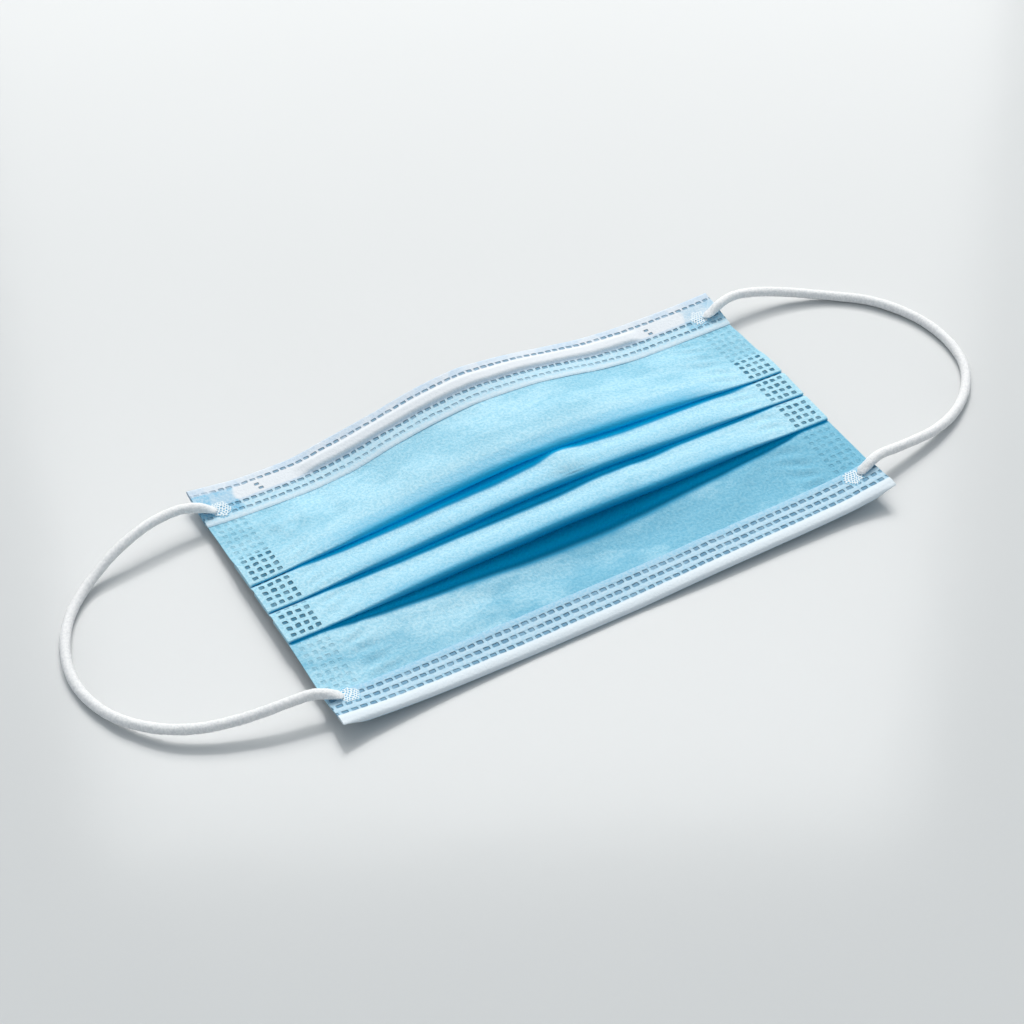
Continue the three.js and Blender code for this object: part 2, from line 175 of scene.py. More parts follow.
def soft_noise(x, y, cell, seed):
    """Smooth noise from -1 to 1 with bumps about cell millimetres wide."""
    grid = np.random.default_rng(seed).uniform(-1, 1, (NOISE_GRID, NOISE_GRID))
    u, v = np.asarray(x, float) / cell + NOISE_SHIFT, np.asarray(y, float) / cell + NOISE_SHIFT
    i, j = np.floor(u).astype(int), np.floor(v).astype(int)
    s, t = smoothstep(0, 1, u - i), smoothstep(0, 1, v - j)

    def corner(a, b):
        return grid[(i + a) % NOISE_GRID, (j + b) % NOISE_GRID]

    low = corner(0, 0) * (1 - s) + corner(1, 0) * s
    high = corner(0, 1) * (1 - s) + corner(1, 1) * s
    return low * (1 - t) + high * t


# Meshes

SHARP_ANGLE = 58.0  # in degrees, between faces that are shaded apart


def new_object(name, points, faces, materials, replaces, material_index=None):
    mesh = bpy.data.meshes.new(name)
    mesh.from_pydata((np.asarray(points, float).reshape(-1, 3) * MM).tolist(), [], faces)
    for look in materials:
        mesh.materials.append(look)
    if material_index is not None:
        mesh.polygons.foreach_set("material_index", material_index)
    mesh.polygons.foreach_set("use_smooth", [True] * len(mesh.polygons))
    mesh.set_sharp_from_angle(angle=math.radians(SHARP_ANGLE))
    mesh.update()
    piece = bpy.data.objects.new(name, mesh)
    bpy.context.scene.collection.objects.link(piece)
    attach(piece, "root")
    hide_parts(*replaces)
    return piece


def add_vectors(piece, name, values):
    layer = piece.data.attributes.new(name, "FLOAT_VECTOR", "POINT")
    layer.data.foreach_set("vector", np.asarray(values, float).ravel())


def grid_faces(rows, columns, around=False):
    """Quads of a grid of points, joined round its columns where around is true."""
    i, j = np.meshgrid(np.arange(rows - 1), np.arange(columns if around else columns - 1), indexing="ij")
    k = (j + 1) % columns
    quads = [i * columns + j, i * columns + k, (i + 1) * columns + k, (i + 1) * columns + j]
    return np.stack(quads, -1).reshape(-1, 4).tolist()


def shell(outer, inner):
    """Points and faces of a closed shell between two grids, with rows along +X and columns towards -Y."""
    rows, columns = outer.shape[:2]
    ring = np.concatenate([outer, inner[:, ::-1]], axis=1)
    faces = grid_faces(rows, 2 * columns, around=True)
    last = (rows - 1) * 2 * columns
    for j in range(columns - 1):
        a, b, c, d = j, j + 1, 2 * columns - 2 - j, 2 * columns - 1 - j
        faces.append([d, c, b, a])
        faces.append([last + a, last + b, last + c, last + d])
    return ring, faces


# Sections of the cloth. A point is (y, z). The path runs from the nose edge towards the chin, and its heading
# is counted from +Y, so it is pi on an upper face. The outer face's normal lies to the right of the heading.

# Kinds of stretches: 0 to 3 the upper faces, LIP + k the front of fold k, LEG what runs back, BACK the turn
LIP = 10
LEG = 20
BACK = 30
LIP_TILT = 0.6  # how much of the slope towards a front fold is left where its lip begins
LEG_CLEARANCE = 0.12
CROWN = 0.9  # height of the nose panel's bulge in the middle of the mask
# Where the nose panel bulges: y, the share of the crown, and the lift where the pleats are pressed flat
NOSE_BULGE = [(29.0, 0.1, 0.0), (21.0, 1.0, -0.25), (15.0, 1.0, 0.45)]
SHADE_REACH = 0.64  # how far in front of a fold its shade lies, for each millimetre of its opening


def normal_of(heading):
    return np.stack([np.sin(heading), -np.cos(heading)], -1)


def binding_frame(side, width, edge_z, cut_z):
    """Edge point on a binding's upper face, the direction from there to its cut edge, and its normal."""
    edge = np.array([side * HEIGHT / 2, edge_z])
    cut = np.array([side * (HEIGHT / 2 - width), cut_z])
    heading = (cut - edge) / np.linalg.norm(cut - edge)
    return edge, heading, side * np.array([heading[1], -heading[0]])


def nose_frame(x):
    return binding_frame(1, NOSE_BAND, height("nose", x), height("band", x))


def chin_frame(x):
    return binding_frame(-1, CHIN_BAND, height("chin", x) + CHIN_RISE, height("cut", x) + CHIN_RISE)


def in_frame(frame_at, x, u, w):
    """Points at u inwards from the edge and w above a binding's upper face, as (x, y, z)."""
    edge, heading, up = frame_at(x)
    u, w = np.broadcast_arrays(np.asarray(u, float), np.asarray(w, float))
    yz = edge + u[..., None] * heading + w[..., None] * up
    return np.concatenate([np.full(yz.shape[:-1] + (1,), x), yz], -1)


def surface_stretch(controls, end, end_tilt, count):
    """Points and headings from controls[0] to end along -Y, through the controls between."""
    ys = np.array([p[0] for p in controls] + [end[0]])
    zs = np.array([p[1] for p in controls] + [end[1]])
    last_slope = None if end_tilt is None else -math.tan(end_tilt)
    at = np.linspace(ys[0], ys[-1], count)
    z, slope = curve_through(-ys, zs, -at, last_slope)
    return np.stack([at, z], -1), math.pi - np.arctan(slope)


def lip_at(k, x):
    """Centre and radius of the front of fold k."""
    radius = LIP_RADIUS + LIP_PUFF[k] * puff(x)
    top = height(f"front{k + 1}", x)
    return np.array([PLEAT_FRONTS[k] + radius, top - radius]), radius


def nose_controls(x, lip, radius):
    """Where the nose panel passes, from under the nose band towards the first front fold."""
    edge, along, up = nose_frame(x)
    start = edge + 0.7 * along - UNDER_FLAP * up
    band_end = edge + NOSE_BAND * along - UNDER_FLAP * up
    crown = CROWN * puff(x)
    pressed = 1 - puff(x)
    controls = [start, band_end]
    for y, share, lift in NOSE_BULGE:
        chord = (lip[1] + radius - band_end[1]) * (band_end[0] - y) / (band_end[0] - lip[0])
        controls.append((y, band_end[1] + chord + share * crown + lift * pressed))
    return controls


def strip_controls(k, x):
    """Where the strip that comes out under front fold k passes: behind, under and in front of it."""
    front = PLEAT_FRONTS[k]
    top = height(f"front{k + 1}", x)
    gap = height(f"gap{k + 1}", x)
    pressed = 1 - puff(x)
    under = top - max(gap, 2 * LAYER + 0.06)
    reach = 1.8 + (SHADE_REACH - 0.15) * gap
    back_y = front + PLEAT_DEPTHS[k] - BACK_RADIUS - CLOTH
    back_z = under - 0.5 * (1 - pressed)
    return [(back_y, back_z), (front + 0.2, under), (front - reach, top - gap)]


def towards_lip(last, lip, radius, x):
    """A point between a strip's last one and the next front fold, higher where the mask is puffed."""
    y = 0.45 * last[0] + 0.55 * lip[0]
    z = 0.45 * last[1] + 0.55 * (lip[1] + radius)
    return y, z + 0.35 * puff(x)


def add_stretch(path, points, headings, fronts, kind):
    count = len(points)
    path.append((points, headings, fronts + np.zeros(count), np.full(count, kind)))


def add_upper_face(path, k, controls, lip, radius):
    """The upper face that ends at front fold k. Gives its points and its last heading."""
    last_y, last_z = controls[-1]
    tilt = math.atan2(lip[1] + radius - last_z, last_y - lip[0]) * LIP_TILT
    end = lip + radius * normal_of(math.pi - tilt)
    points, headings = surface_stretch(controls, end, tilt, 52 if k == 0 else 36)
    add_stretch(path, points, headings, points[:, 0] - PLEAT_FRONTS[k], k)
    return points, headings[-1]


def add_fold(path, k, x, face, heading, lip, radius):
    """Front fold k, the leg under its upper face and the turn behind. Gives where the next strip passes."""
    controls = strip_controls(k, x)
    back_y, back_z = controls[0]
    above = np.interp(-back_y, -face[:, 0], face[:, 1])
    back_z = min(back_z, above - 2 * CLOTH - 2 * BACK_RADIUS - LEG_CLEARANCE)
    back = np.array([back_y, back_z + BACK_RADIUS])
    step = back - lip
    lean = math.asin((-BACK_RADIUS - radius) / np.linalg.norm(step))
    leg = math.atan2(step[1], step[0]) - lean + 2 * math.pi
    arc = np.linspace(heading, leg, 15)[1:]
    add_stretch(path, lip + radius * normal_of(arc), arc, 0, LIP + k)
    share = np.linspace(0, 1, 8)[1:-1, None]
    leg_from = lip + radius * normal_of(leg)
    leg_to = back - BACK_RADIUS * normal_of(leg)
    points = leg_from * (1 - share) + leg_to * share
    add_stretch(path, points, np.full(len(points), leg), 0, LEG)
    slope = (controls[1][1] - back_z) / (back_y - controls[1][0])
    arc = np.linspace(leg, math.pi - math.atan(slope), 6)
    turn = back - BACK_RADIUS * normal_of(arc)
    add_stretch(path, turn, arc, 0, BACK)
    controls[0] = tuple(turn[-1] + np.array([-0.05, 0.05 * slope]))
    return controls


def add_chin_face(path, x, controls):
    """The upper face from the last fold into the chin binding. Its distances are from that fold."""
    edge, along, up = chin_frame(x)
    cut = edge + CHIN_BAND * along - UNDER_FLAP * up
    end = edge + 2.2 * along - UNDER_FLAP * up
    last_y, last_z = controls[-1]
    sag = 0.12 * height("gap3", x) * puff(x)
    middle = (0.6 * last_y + 0.4 * cut[0], 0.6 * last_z + 0.4 * cut[1] - sag)
    points, headings = surface_stretch([*controls, middle, cut], end, None, 72)
    add_stretch(path, points, headings, points[:, 0] - PLEAT_FRONTS[2], 3)


def outer_path(x):
    """The outer face's path at x: points, headings, distances behind the next front fold, and kinds."""
    path = []
    lip, radius = lip_at(0, x)
    controls = nose_controls(x, lip, radius)
    for k in range(3):
        face, heading = add_upper_face(path, k, controls, lip, radius)
        controls = add_fold(path, k, x, face, heading, lip, radius)
        if k < 2:
            lip, radius = lip_at(k + 1, x)
            controls.append(towards_lip(controls[-1], lip, radius, x))
    add_chin_face(path, x, controls)
    return [np.concatenate(column) for column in zip(*path)]


# The panel's ruffles

# Waves of the cloth: height, width of a bump, how many times narrower it is along y, and a seed
WAVES = [(0.2, 14.0, 1.0, 1), (0.12, 6.0, 1.3, 2), (0.035, 2.4, 1.0, 3)]
# The puckers beside the side welds
PUCKER_X = 70.0
PUCKER_REACH = 5.0
PUCKER_PITCH = 4.6
PUCKER_HEIGHT = 0.26
# Y where the ruffles begin, are full, fade and end
RUFFLED = (-37.5, -33.0, 32.0, 35.5)
# Creases and puffs: x and y of the middle, length, width, the length's angle in degrees from +X, and height
CREASES = [
    (9.5, 3.0, 12.0, 5.5, 66.0, 0.5),
    (24.0, -9.0, 12.0, 3.4, 60.0, 0.45),
    (50.0, -26.0, 22.0, 4.5, 38.0, 0.7),
    (60.0, -27.0, 20.0, 3.6, 42.0, -0.45),
    (36.0, -29.0, 24.0, 5.0, 30.0, 0.45),
    (-30.0, -30.0, 30.0, 5.0, 12.0, 0.35),
    (-62.0, 27.0, 16.0, 3.0, 78.0, 0.5),
    (-54.0, 26.0, 14.0, 3.0, 84.0, -0.4),
    (-4.0, 24.0, 26.0, 5.0, 35.0, 0.4),
    (22.0, 22.0, 30.0, 6.0, 20.0, 0.35),
    (74.0, -28.0, 18.0, 3.2, 82.0, 0.5),
    (66.0, -35.0, 18.0, 3.0, 12.0, 0.4),
    (62.0, -25.0, 16.0, 3.0, 35.0, 0.4),
    (-66.0, -33.0, 22.0, 3.2, 5.0, 0.4),
    (-70.0, 24.0, 14.0, 2.6, 120.0, 0.4),
    (66.0, 25.0, 20.0, 4.0, 160.0, 0.5),
]


def ruffle(x, y):
    """How far open cloth stands out from its smooth form."""
    lift = 0
    for rise, cell, narrower, seed in WAVES:
        lift = lift + rise * soft_noise(x, narrower * y, cell, seed)
    beside_weld = np.exp(-(((abs(x) - PUCKER_X) / PUCKER_REACH) ** 2))
    rays = np.sin(2 * math.pi * (y + 0.3 * abs(x)) / PUCKER_PITCH + 2.5 * soft_noise(x, y, 9, 4))
    lift = lift + PUCKER_HEIGHT * beside_weld * rays
    for cx, cy, length, width, angle, rise in CREASES:
        c, s = math.cos(math.radians(angle)), math.sin(math.radians(angle))
        u = (x - cx) * c + (y - cy) * s
        v = -(x - cx) * s + (y - cy) * c
        lift = lift + rise * np.exp(-((u / length) ** 2) * 4 - ((v / width) ** 2) * 2)
    return lift


def lift_of(x, y, fronts, kinds):
    """The ruffle at each point of a section: none in the bindings, folds, pleats and welds."""
    begins, full, fades, ends = RUFFLED
    visible = (kinds < LIP) * smoothstep(begins, full, y) * (1 - smoothstep(fades, ends, y))
    visible = visible * np.where(kinds < 3, smoothstep(0.0, 3.0, fronts), 1)
    hidden = np.zeros(len(y))
    for k in (1, 2, 3):
        edge = PLEAT_FRONTS[k - 1] - 0.2
        hidden = np.where(kinds == k, smoothstep(edge - 2.5, edge + 0.5, y), hidden)
    free = 1 - smoothstep(WELD_FROM - 5, WELD_FROM + 2, abs(x))
    return ruffle(x, y) * visible * (1 - hidden) * free


# The shade painted on the panel. It makes up for the light that falls through the cloth into the pleats.

# On the way to each front fold: its strength, the distance in which it fades, and a wide band's strength
LIP_SHADE = [(0.24, 0.9, 0.17), (0.22, 1.2, 0.03), (0.25, 1.4, 0.04)]
LIP_SHADE_FROM = 1.4  # distance from the front where it begins to fade
WIDE_SHADE_ENDS = (4.4, 6.8)  # distances in which the wide band fades
LIP_TONES = [0.7, 1.6, 2.0]  # how dark the shade on each lip is: 0 the brightest, 3 the darkest
DARKEST = 3.0
# In each pleat's opening: how fast the shade gets brighter on the way in, and how late that begins
OPENING_TONES = [(4.0, 0.0), (5.3, 1.9), (5.3, 2.3)]
OPENING_BLUR = [0.2, 0.2, 0.25]  # of the shade's edge, for each millimetre of the opening
SHADE_ENDS = (86.6, 87.3)  # X where it fades, because the cut ends have none
SIDE_DOTS_TO = 11.4  # distance from a fold's front where the strong side dots end


def lip_shade(x, headings, fronts, kinds):
    """How strong and how dark the painted shade is on the way to the front folds and round them."""
    shade_strength = np.where(kinds >= LEG, 1.0, 0.0)
    tone = np.where(kinds >= LEG, DARKEST, 0.0)
    turned = smoothstep(math.pi, math.pi * 1.6, headings)
    amount = min(1.0, 1.6 * puff(x))
    under_lip = 0.6 + 0.4 * puff(x)
    for k, (beside, fade, wide) in enumerate(LIP_SHADE):
        near = beside * np.exp(-np.maximum(fronts - LIP_SHADE_FROM, 0) / fade)
        band = wide * (1 - smoothstep(*WIDE_SHADE_ENDS, fronts))
        shade_strength = np.where(kinds == k, amount * (near + band), shade_strength)
        at_lip = amount * (beside + wide)
        shade_strength = np.where(kinds == LIP + k, at_lip + (under_lip - at_lip) * turned, shade_strength)
        tone = np.where(kinds == LIP + k, LIP_TONES[k], tone)
    return shade_strength, tone


def opening_shade(x, y, kinds, shade_strength, tone):
    """As lip_shade, with the shade in the pleats' openings added to it."""
    for k in (1, 2, 3):
        front = PLEAT_FRONTS[k - 1]
        gap = height(f"gap{k}", x)
        edge = front - SHADE_REACH * gap
        blur = 0.3 + OPENING_BLUR[k - 1] * gap
        shade = smoothstep(edge - blur, edge + blur, y) * smoothstep(0.0, 0.5, gap)
        under = smoothstep(front - 0.1, front + 0.3, y)
        shade_strength = np.where(kinds == k, np.maximum(shade_strength, np.maximum(shade, under)), shade_strength)
        inside = smoothstep(edge - blur, front + 0.2, y)
        faster, later = OPENING_TONES[k - 1]
        brighter = faster * inside - later
        tone = np.where(kinds == k, np.clip(DARKEST - brighter, 0, DARKEST), tone)
    return shade_strength, tone


def panel_facts(x, y, headings, fronts, kinds):
    """For each point: x, its distance from a front fold, how strong the side dots are there, how strong the
    painted shade is there (0 to 1), how dark that painted shade is (0 to 3), and y."""
    strength = np.where((kinds < 3) & (fronts < SIDE_DOTS_TO), 1.0, 0.24)
    strength = np.where(kinds >= LIP, 0, strength)
    shade_strength, tone = lip_shade(x, headings, fronts, kinds)
    shade_strength, tone = opening_shade(x, y, kinds, shade_strength, tone)
    shade_strength = shade_strength * (1 - smoothstep(*SHADE_ENDS, abs(x)))
    return np.stack([np.full(len(y), x), fronts, strength, shade_strength, tone, y], -1)


# The panel

DENSE_FROM = 70.0  # X from which the sections lie close together, up to the side's edge


def panel_stations():
    """X of the panel's sections."""
    side = np.linspace(WIDTH / 2, DENSE_FROM, 26)
    middle = np.linspace(DENSE_FROM, -DENSE_FROM, 127)[1:-1]
    return np.sort(np.concatenate([side, middle, -side]))


def panel_section(x):
    """Points of the outer and the inner face at x, and the outer points' facts."""
    points, headings, fronts, kinds = outer_path(x)
    y = points[:, 0]
    normals = normal_of(headings)
    face = points + lift_of(x, y, fronts, kinds)[:, None] * normals
    column = np.full((len(y), 1), x)
    outer = np.hstack([column, face])
    inner = np.hstack([column, face - CLOTH * normals])
    return outer, inner, panel_facts(x, y, headings, fronts, kinds)


def two_sided(columns, rows, count):
    """The material of each of count faces: 0 on the outer side and on the ends, 1 on the inner side."""
    index = np.tile(np.repeat([0, 1], columns), rows)
    return np.concatenate([index, np.zeros(count - len(index), int)])


def make_panel(materials):
    sections = [panel_section(x) for x in panel_stations()]
    outer, inner, facts = (np.array(part) for part in zip(*sections))
    points, faces = shell(outer, inner)
    index = two_sided(outer.shape[1], len(sections) - 1, len(faces))
    panel = new_object("cloth_panel", points, faces, materials, ["pleated_panel"], index)
    add_vectors(panel, "cloth_mm", np.concatenate([facts[..., :3], facts[:, ::-1, :3]], axis=1))
    # the painted shade's strength and darkness, and y
    add_vectors(panel, "fold", np.concatenate([facts[..., 3:], facts[:, ::-1, 3:]], axis=1))
    return panel


# Material nodes


def node(tree, kind, inputs=None, **props):
    made = tree.nodes.new(kind)
    for key, value in props.items():
        setattr(made, key, value)
    for key, value in (inputs or {}).items():
        socket = made.inputs[key]
        if isinstance(value, bpy.types.NodeSocket):
            tree.links.new(value, socket)
        else:
            socket.default_value = value
    return made


def calc(operation, *values, clamp=False):
    tree = next(value.id_data for value in values if isinstance(value, bpy.types.NodeSocket))
    made = node(tree, "ShaderNodeMath", dict(enumerate(values)), operation=operation, use_clamp=clamp)
    return made.outputs[0]


times = partial(calc, "MULTIPLY")
plus = partial(calc, "ADD")
minus = partial(calc, "SUBTRACT")
larger = partial(calc, "MAXIMUM")


def ramp(value, low, high, start=0.0, end=1.0):
    inputs = {"Value": value, "From Min": low, "From Max": high, "To Min": start, "To Max": end}
    return node(value.id_data, "ShaderNodeMapRange", inputs, interpolation_type="SMOOTHSTEP").outputs[0]


def mix(factor, a, b):
    return node(factor.id_data, "ShaderNodeMix", {0: factor, 6: a, 7: b}, data_type="RGBA").outputs[2]


def tint(factor, colour, by):
    """The colour multiplied by another where factor is 1."""
    inputs = {0: factor, 6: colour, 7: by}
    made = node(factor.id_data, "ShaderNodeMix", inputs, data_type="RGBA", blend_type="MULTIPLY")
    return made.outputs[2]


def object_place(tree):
    return node(tree, "ShaderNodeTexCoord").outputs["Object"]


def noise(place, scale, detail=3.0, roughness=0.5):
    inputs = {"Vector": place, "Scale": scale, "Detail": detail, "Roughness": roughness}
    return node(place.id_data, "ShaderNodeTexNoise", inputs).outputs["Fac"]


def attribute(tree, name):
    """The three parts of a vector attribute."""
    made = node(tree, "ShaderNodeAttribute", attribute_name=name)
    parts = node(tree, "ShaderNodeSeparateXYZ", {0: made.outputs["Vector"]})
    return parts.outputs


def material(name, roughness, specular=0.3):
    made = bpy.data.materials.new(name)
    made.use_nodes = True
    tree = made.node_tree
    shader = tree.nodes["Principled BSDF"]
    shader.inputs["Roughness"].default_value = roughness
    shader.inputs["Specular IOR Level"].default_value = specular
    return made, tree, shader


def set_colour(shader, colour):
    colour.id_data.links.new(colour, shader.inputs["Base Color"])


def add_bump(shader, relief, distance, strength):
    """Relief on the surface, with distance in metres."""
    inputs = {"Height": relief, "Distance": distance, "Strength": strength}
    bump = node(relief.id_data, "ShaderNodeBump", inputs)
    relief.id_data.links.new(bump.outputs["Normal"], shader.inputs["Normal"])


def shaken(value, scale, reach):
    """The value moved a little to and fro from place to place."""
    moved = minus(noise(object_place(value.id_data), scale, 1.0), 0.5)
    return plus(value, times(moved, reach))


def worn(value):
    """The value, weaker in some places."""
    kept = ramp(noise(object_place(value.id_data), 190.0, 2.0), 0.32, 0.58, 0.68, 1.0)
    return times(value, kept)


def dashes(along, across, pitch, row_pitch, rows, size, stagger=0.0):
    """1 inside a field of rounded dashes: rows of them from across = 0, and size (length, width)."""
    along = shaken(along, 330.0, 0.9)
    across = shaken(across, 410.0, 0.6)
    row = calc("ROUND", calc("DIVIDE", across, row_pitch))
    row = calc("MINIMUM", larger(row, 0.0), rows - 1.0)
    shifted = plus(along, times(row, stagger))
    du = calc("PINGPONG", shifted, pitch / 2)
    dv = calc("ABSOLUTE", minus(across, times(row, row_pitch)))
    corner = 0.22 * min(size)
    qu = larger(minus(du, size[0] / 2 - corner), 0.0)
    qv = larger(minus(dv, size[1] / 2 - corner), 0.0)
    squares = plus(times(qu, qu), times(qv, qv))
    return ramp(calc("SQRT", squares), corner + 0.2, corner - 0.16)


def spot(x, u, centre, size):
    """1 inside a rounded box round centre."""
    du = calc("ABSOLUTE", minus(x, centre[0]))
    dv = calc("ABSOLUTE", minus(u, centre[1]))
    inside = ramp(du, size[0] / 2 + 0.15, size[0] / 2 - 0.15)
    return times(inside, ramp(dv, size[1] / 2 + 0.15, size[1] / 2 - 0.15))


def cloth_bump(tree, shader, dents=None, grain=1.0, dent_depth=0.35):
    """The fine mottled emboss of nonwoven cloth, with weld dents pressed into it. Gives its pits."""
    place = object_place(tree)
    pits = noise(place, 1250.0, 3.0, 0.6)
    fibres = noise(place, 3000.0, 2.0, 0.6)
    relief = calc("MULTIPLY_ADD", pits, 0.3 * grain, times(fibres, 0.10 * grain))
    if dents is not None:
        relief = minus(relief, times(dents, dent_depth))
    add_bump(shader, relief, 0.001, 0.9)
    return pits


# The panel's materials

CLOTH_COLOUR = (0.37, 0.695, 0.855, 1)
CLOTH_PALE = (0.54, 0.825, 0.95, 1)
# Painted shade where the cloth turns round a lip
LIP_SHADE_COLOUR = (0.06, 0.43, 0.70, 1)
# Painted shade in the pleats, from tone 0, the brightest, to tone 3, the darkest
PLEAT_SHADE_COLOURS = [(0.0, 0.60, 1.0, 1), (0.0, 0.42, 0.80, 1), (0.0, 0.27, 0.53, 1), (0.0, 0.195, 0.38, 1)]
DOT_COLOUR = (0.01, 0.13, 0.24, 1)
DOT_COVER = 0.85  # how much of the cloth's colour a dot covers
SIDE_DOTS_X = 77.6  # of their inner column
SIDE_DOTS_ROW = 1.7  # from a fold's front to their first row
INNER_WHITES = [(0.74, 0.80, 0.84, 1), (0.82, 0.87, 0.90, 1)]
# Tints of the nose and chin panels: the clouds' range, what is added between two x, and the y they set in.
# The chin panel's tint is partly the single layer's own darker tone and partly painted shade in front of the
# last fold.
TINTS = [
    {"clouds": (0.0, 0.9), "x": (0.0, 70.0, -0.15, 0.4), "y": (13.0, 21.0), "by": (0.70, 0.82, 0.86, 1)},
    {"clouds": (0.1, 1.0), "x": (-58.0, -5.0, -0.4, 0.5), "y": (-15.0, -19.0), "by": (0.51, 0.72, 0.80, 1)},
]


def side_dots(x, row, strength):
    """The weld dots at both sides."""
    across = minus(calc("ABSOLUTE", x), SIDE_DOTS_X)
    along = minus(row, SIDE_DOTS_ROW)
    dots = dashes(along, across, pitch=2.5, row_pitch=2.5, rows=4, size=(1.15, 1.3))
    dots = times(worn(dots), strength)
    return times(dots, ramp(across, -1.2, -0.8))


def tints_and_chin_shade(x, y, colour):
    """The darker clouds of the nose panel and the chin panel, stronger beside the side welds and towards +X.
    On the chin panel the tint is partly painted shade in front of the last fold.
    """
    inputs = {"Vector": object_place(x.id_data), "Scale": (0.55, 1.2, 1.0)}
    place = node(x.id_data, "ShaderNodeMapping", inputs)
    clouds = noise(place.outputs[0], 75.0, 3.0, 0.55)
    beside = ramp(calc("ABSOLUTE", x), 64.0, 80.0, 0.0, 0.4)
    for panel_tint in TINTS:
        amount = plus(ramp(clouds, 0.38, 0.62, *panel_tint["clouds"]), beside)
        amount = plus(amount, ramp(x, *panel_tint["x"]), clamp=True)
        amount = times(amount, ramp(y, *panel_tint["y"]))
        colour = tint(amount, colour, panel_tint["by"])
    return colour


def pleat_shade(shade_strength, tone, colour):
    """The colour with the painted shade round the lips, and then the painted shade in the pleats over it."""
    colour = mix(times(shade_strength, 2.0, clamp=True), colour, LIP_SHADE_COLOUR)
    shade = PLEAT_SHADE_COLOURS[0]
    for step, darker in enumerate(PLEAT_SHADE_COLOURS[1:]):
        shade = mix(minus(tone, float(step), clamp=True), shade, darker)
    return mix(ramp(shade_strength, 0.4, 1.0), colour, shade)


def cloth_outer():
    made, tree, shader = material("blue_nonwoven", 0.9, 0.03)
    x, row, strength = attribute(tree, "cloth_mm")
    # the painted shade's strength and darkness, and y
    shade_strength, tone, y = attribute(tree, "fold")
    dots = side_dots(x, row, strength)
    pits = cloth_bump(tree, shader, dots, dent_depth=0.7)
    colour = mix(ramp(pits, 0.32, 0.68), CLOTH_COLOUR, CLOTH_PALE)
    colour = tints_and_chin_shade(x, y, colour)
    colour = pleat_shade(shade_strength, tone, colour)
    colour = mix(times(dots, DOT_COVER), colour, DOT_COLOUR)
    set_colour(shader, colour)
    return made


def cloth_inner():
    made, tree, shader = material("white_nonwoven", 0.9, 0.1)
    pits = cloth_bump(tree, shader)
    set_colour(shader, mix(ramp(pits, 0.3, 0.7), *INNER_WHITES))
    return made


# The bindings' materials. Their u is counted inwards from the edge, and w up from the upper face.

BAND_WHITE = (0.78, 0.82, 0.865, 1)
# The edge's own blue, which also paints the shade on the ridge's flank below the channel
BAND_EDGE_AND_SHADE = (0.58, 0.71, 0.84, 1)
BAND_BLUE = (0.50, 0.76, 0.90, 1)
PATCH_BLUE = (0.16, 0.50, 0.74, 1)
DASH_COLOUR = (0.16, 0.33, 0.48, 1)
FIBRE_WHITE = (0.88, 0.92, 0.95, 1)
UPPER_ROW_U = 2.9
LOWER_ROWS_U = 9.3
WIRE_CHANNEL_ENDS = [(-68.3, 5.1), (-67.7, 6.9), (62.6, 5.6), (63.2, 7.3)]  # (x, u) of the dots that close it
HEM_WHITE = (0.80, 0.885, 0.945, 1)
HEM_BLUE = (0.46, 0.69, 0.84, 1)
HEM_EDGE = (0.31, 0.58, 0.76, 1)
# Painted shade on the roll's underside
HEM_UNDERSIDE_SHADE = (0.42, 0.66, 0.82, 1)
HEM_DASH_COLOUR = (0.12, 0.28, 0.43, 1)
HEM_ROWS_U = 4.0
HEM_ROW_PITCH = 2.9


def band_dots(x, u):
    """The nose band's rows of dashes and the dots at the ends of the wire's channel."""
    upper = minus(u, UPPER_ROW_U)
    upper = dashes(x, upper, pitch=2.45, row_pitch=2.4, rows=1, size=(1.6, 0.85))
    upper = times(upper, ramp(x, -83.0, -78.0, 0.35, 1.0))
    lower = minus(u, LOWER_ROWS_U)
    lower = dashes(x, lower, pitch=2.45, row_pitch=2.55, rows=2, size=(1.5, 0.8))
    faint = ramp(calc("ABSOLUTE", x), 40.0, 60.0, 0.4, 0.0)
    faint = times(faint, ramp(u, 10.2, 11.0))
    lower = times(lower, minus(1.0, faint))
    dots = worn(larger(upper, lower))
    for centre in WIRE_CHANNEL_ENDS:
        dots = larger(dots, spot(x, u, centre, (1.3, 0.8)))
    return dots


def band_patch(x, u, clouds):
    """How much of the panel's welded ends shows through the nose band."""
    ragged = calc("MULTIPLY_ADD", clouds, 5.0, calc("ABSOLUTE", x))
    patch = times(ramp(ragged, 77.2, 78.6), ramp(u, 12.6, 11.6))
    patch = times(patch, ramp(x, -1.0, 1.0, 1.0, 0.6))
    patch = times(patch, ramp(u, 2.6, 3.6))
    return times(patch, ramp(clouds, 0.3, 0.6, 0.5, 0.95))


def band_colour(x, u):
    """White over the wire, pale blue beside the panel, bluer along the edge, and a painted shade on the
    ridge's flank below the channel.
    """
    clouds = noise(object_place(x.id_data), 160.0, 2.0)
    colour = mix(ramp(u, 8.1, 8.8), BAND_WHITE, BAND_BLUE)
    colour = mix(ramp(u, 12.6, 13.4, 0.0, 0.35), colour, BAND_WHITE)
    edge = times(ramp(u, 3.6, 2.6), ramp(clouds, 0.35, 0.6, 0.3, 1.0))
    # painted shade on the ridge's flank, which faces away from the light
    under_ridge_shade = times(ramp(u, 7.8, 8.4), ramp(u, 9.2, 8.6))
    colour = mix(larger(edge, under_ridge_shade), colour, BAND_EDGE_AND_SHADE)
    return mix(band_patch(x, u, clouds), colour, PATCH_BLUE)


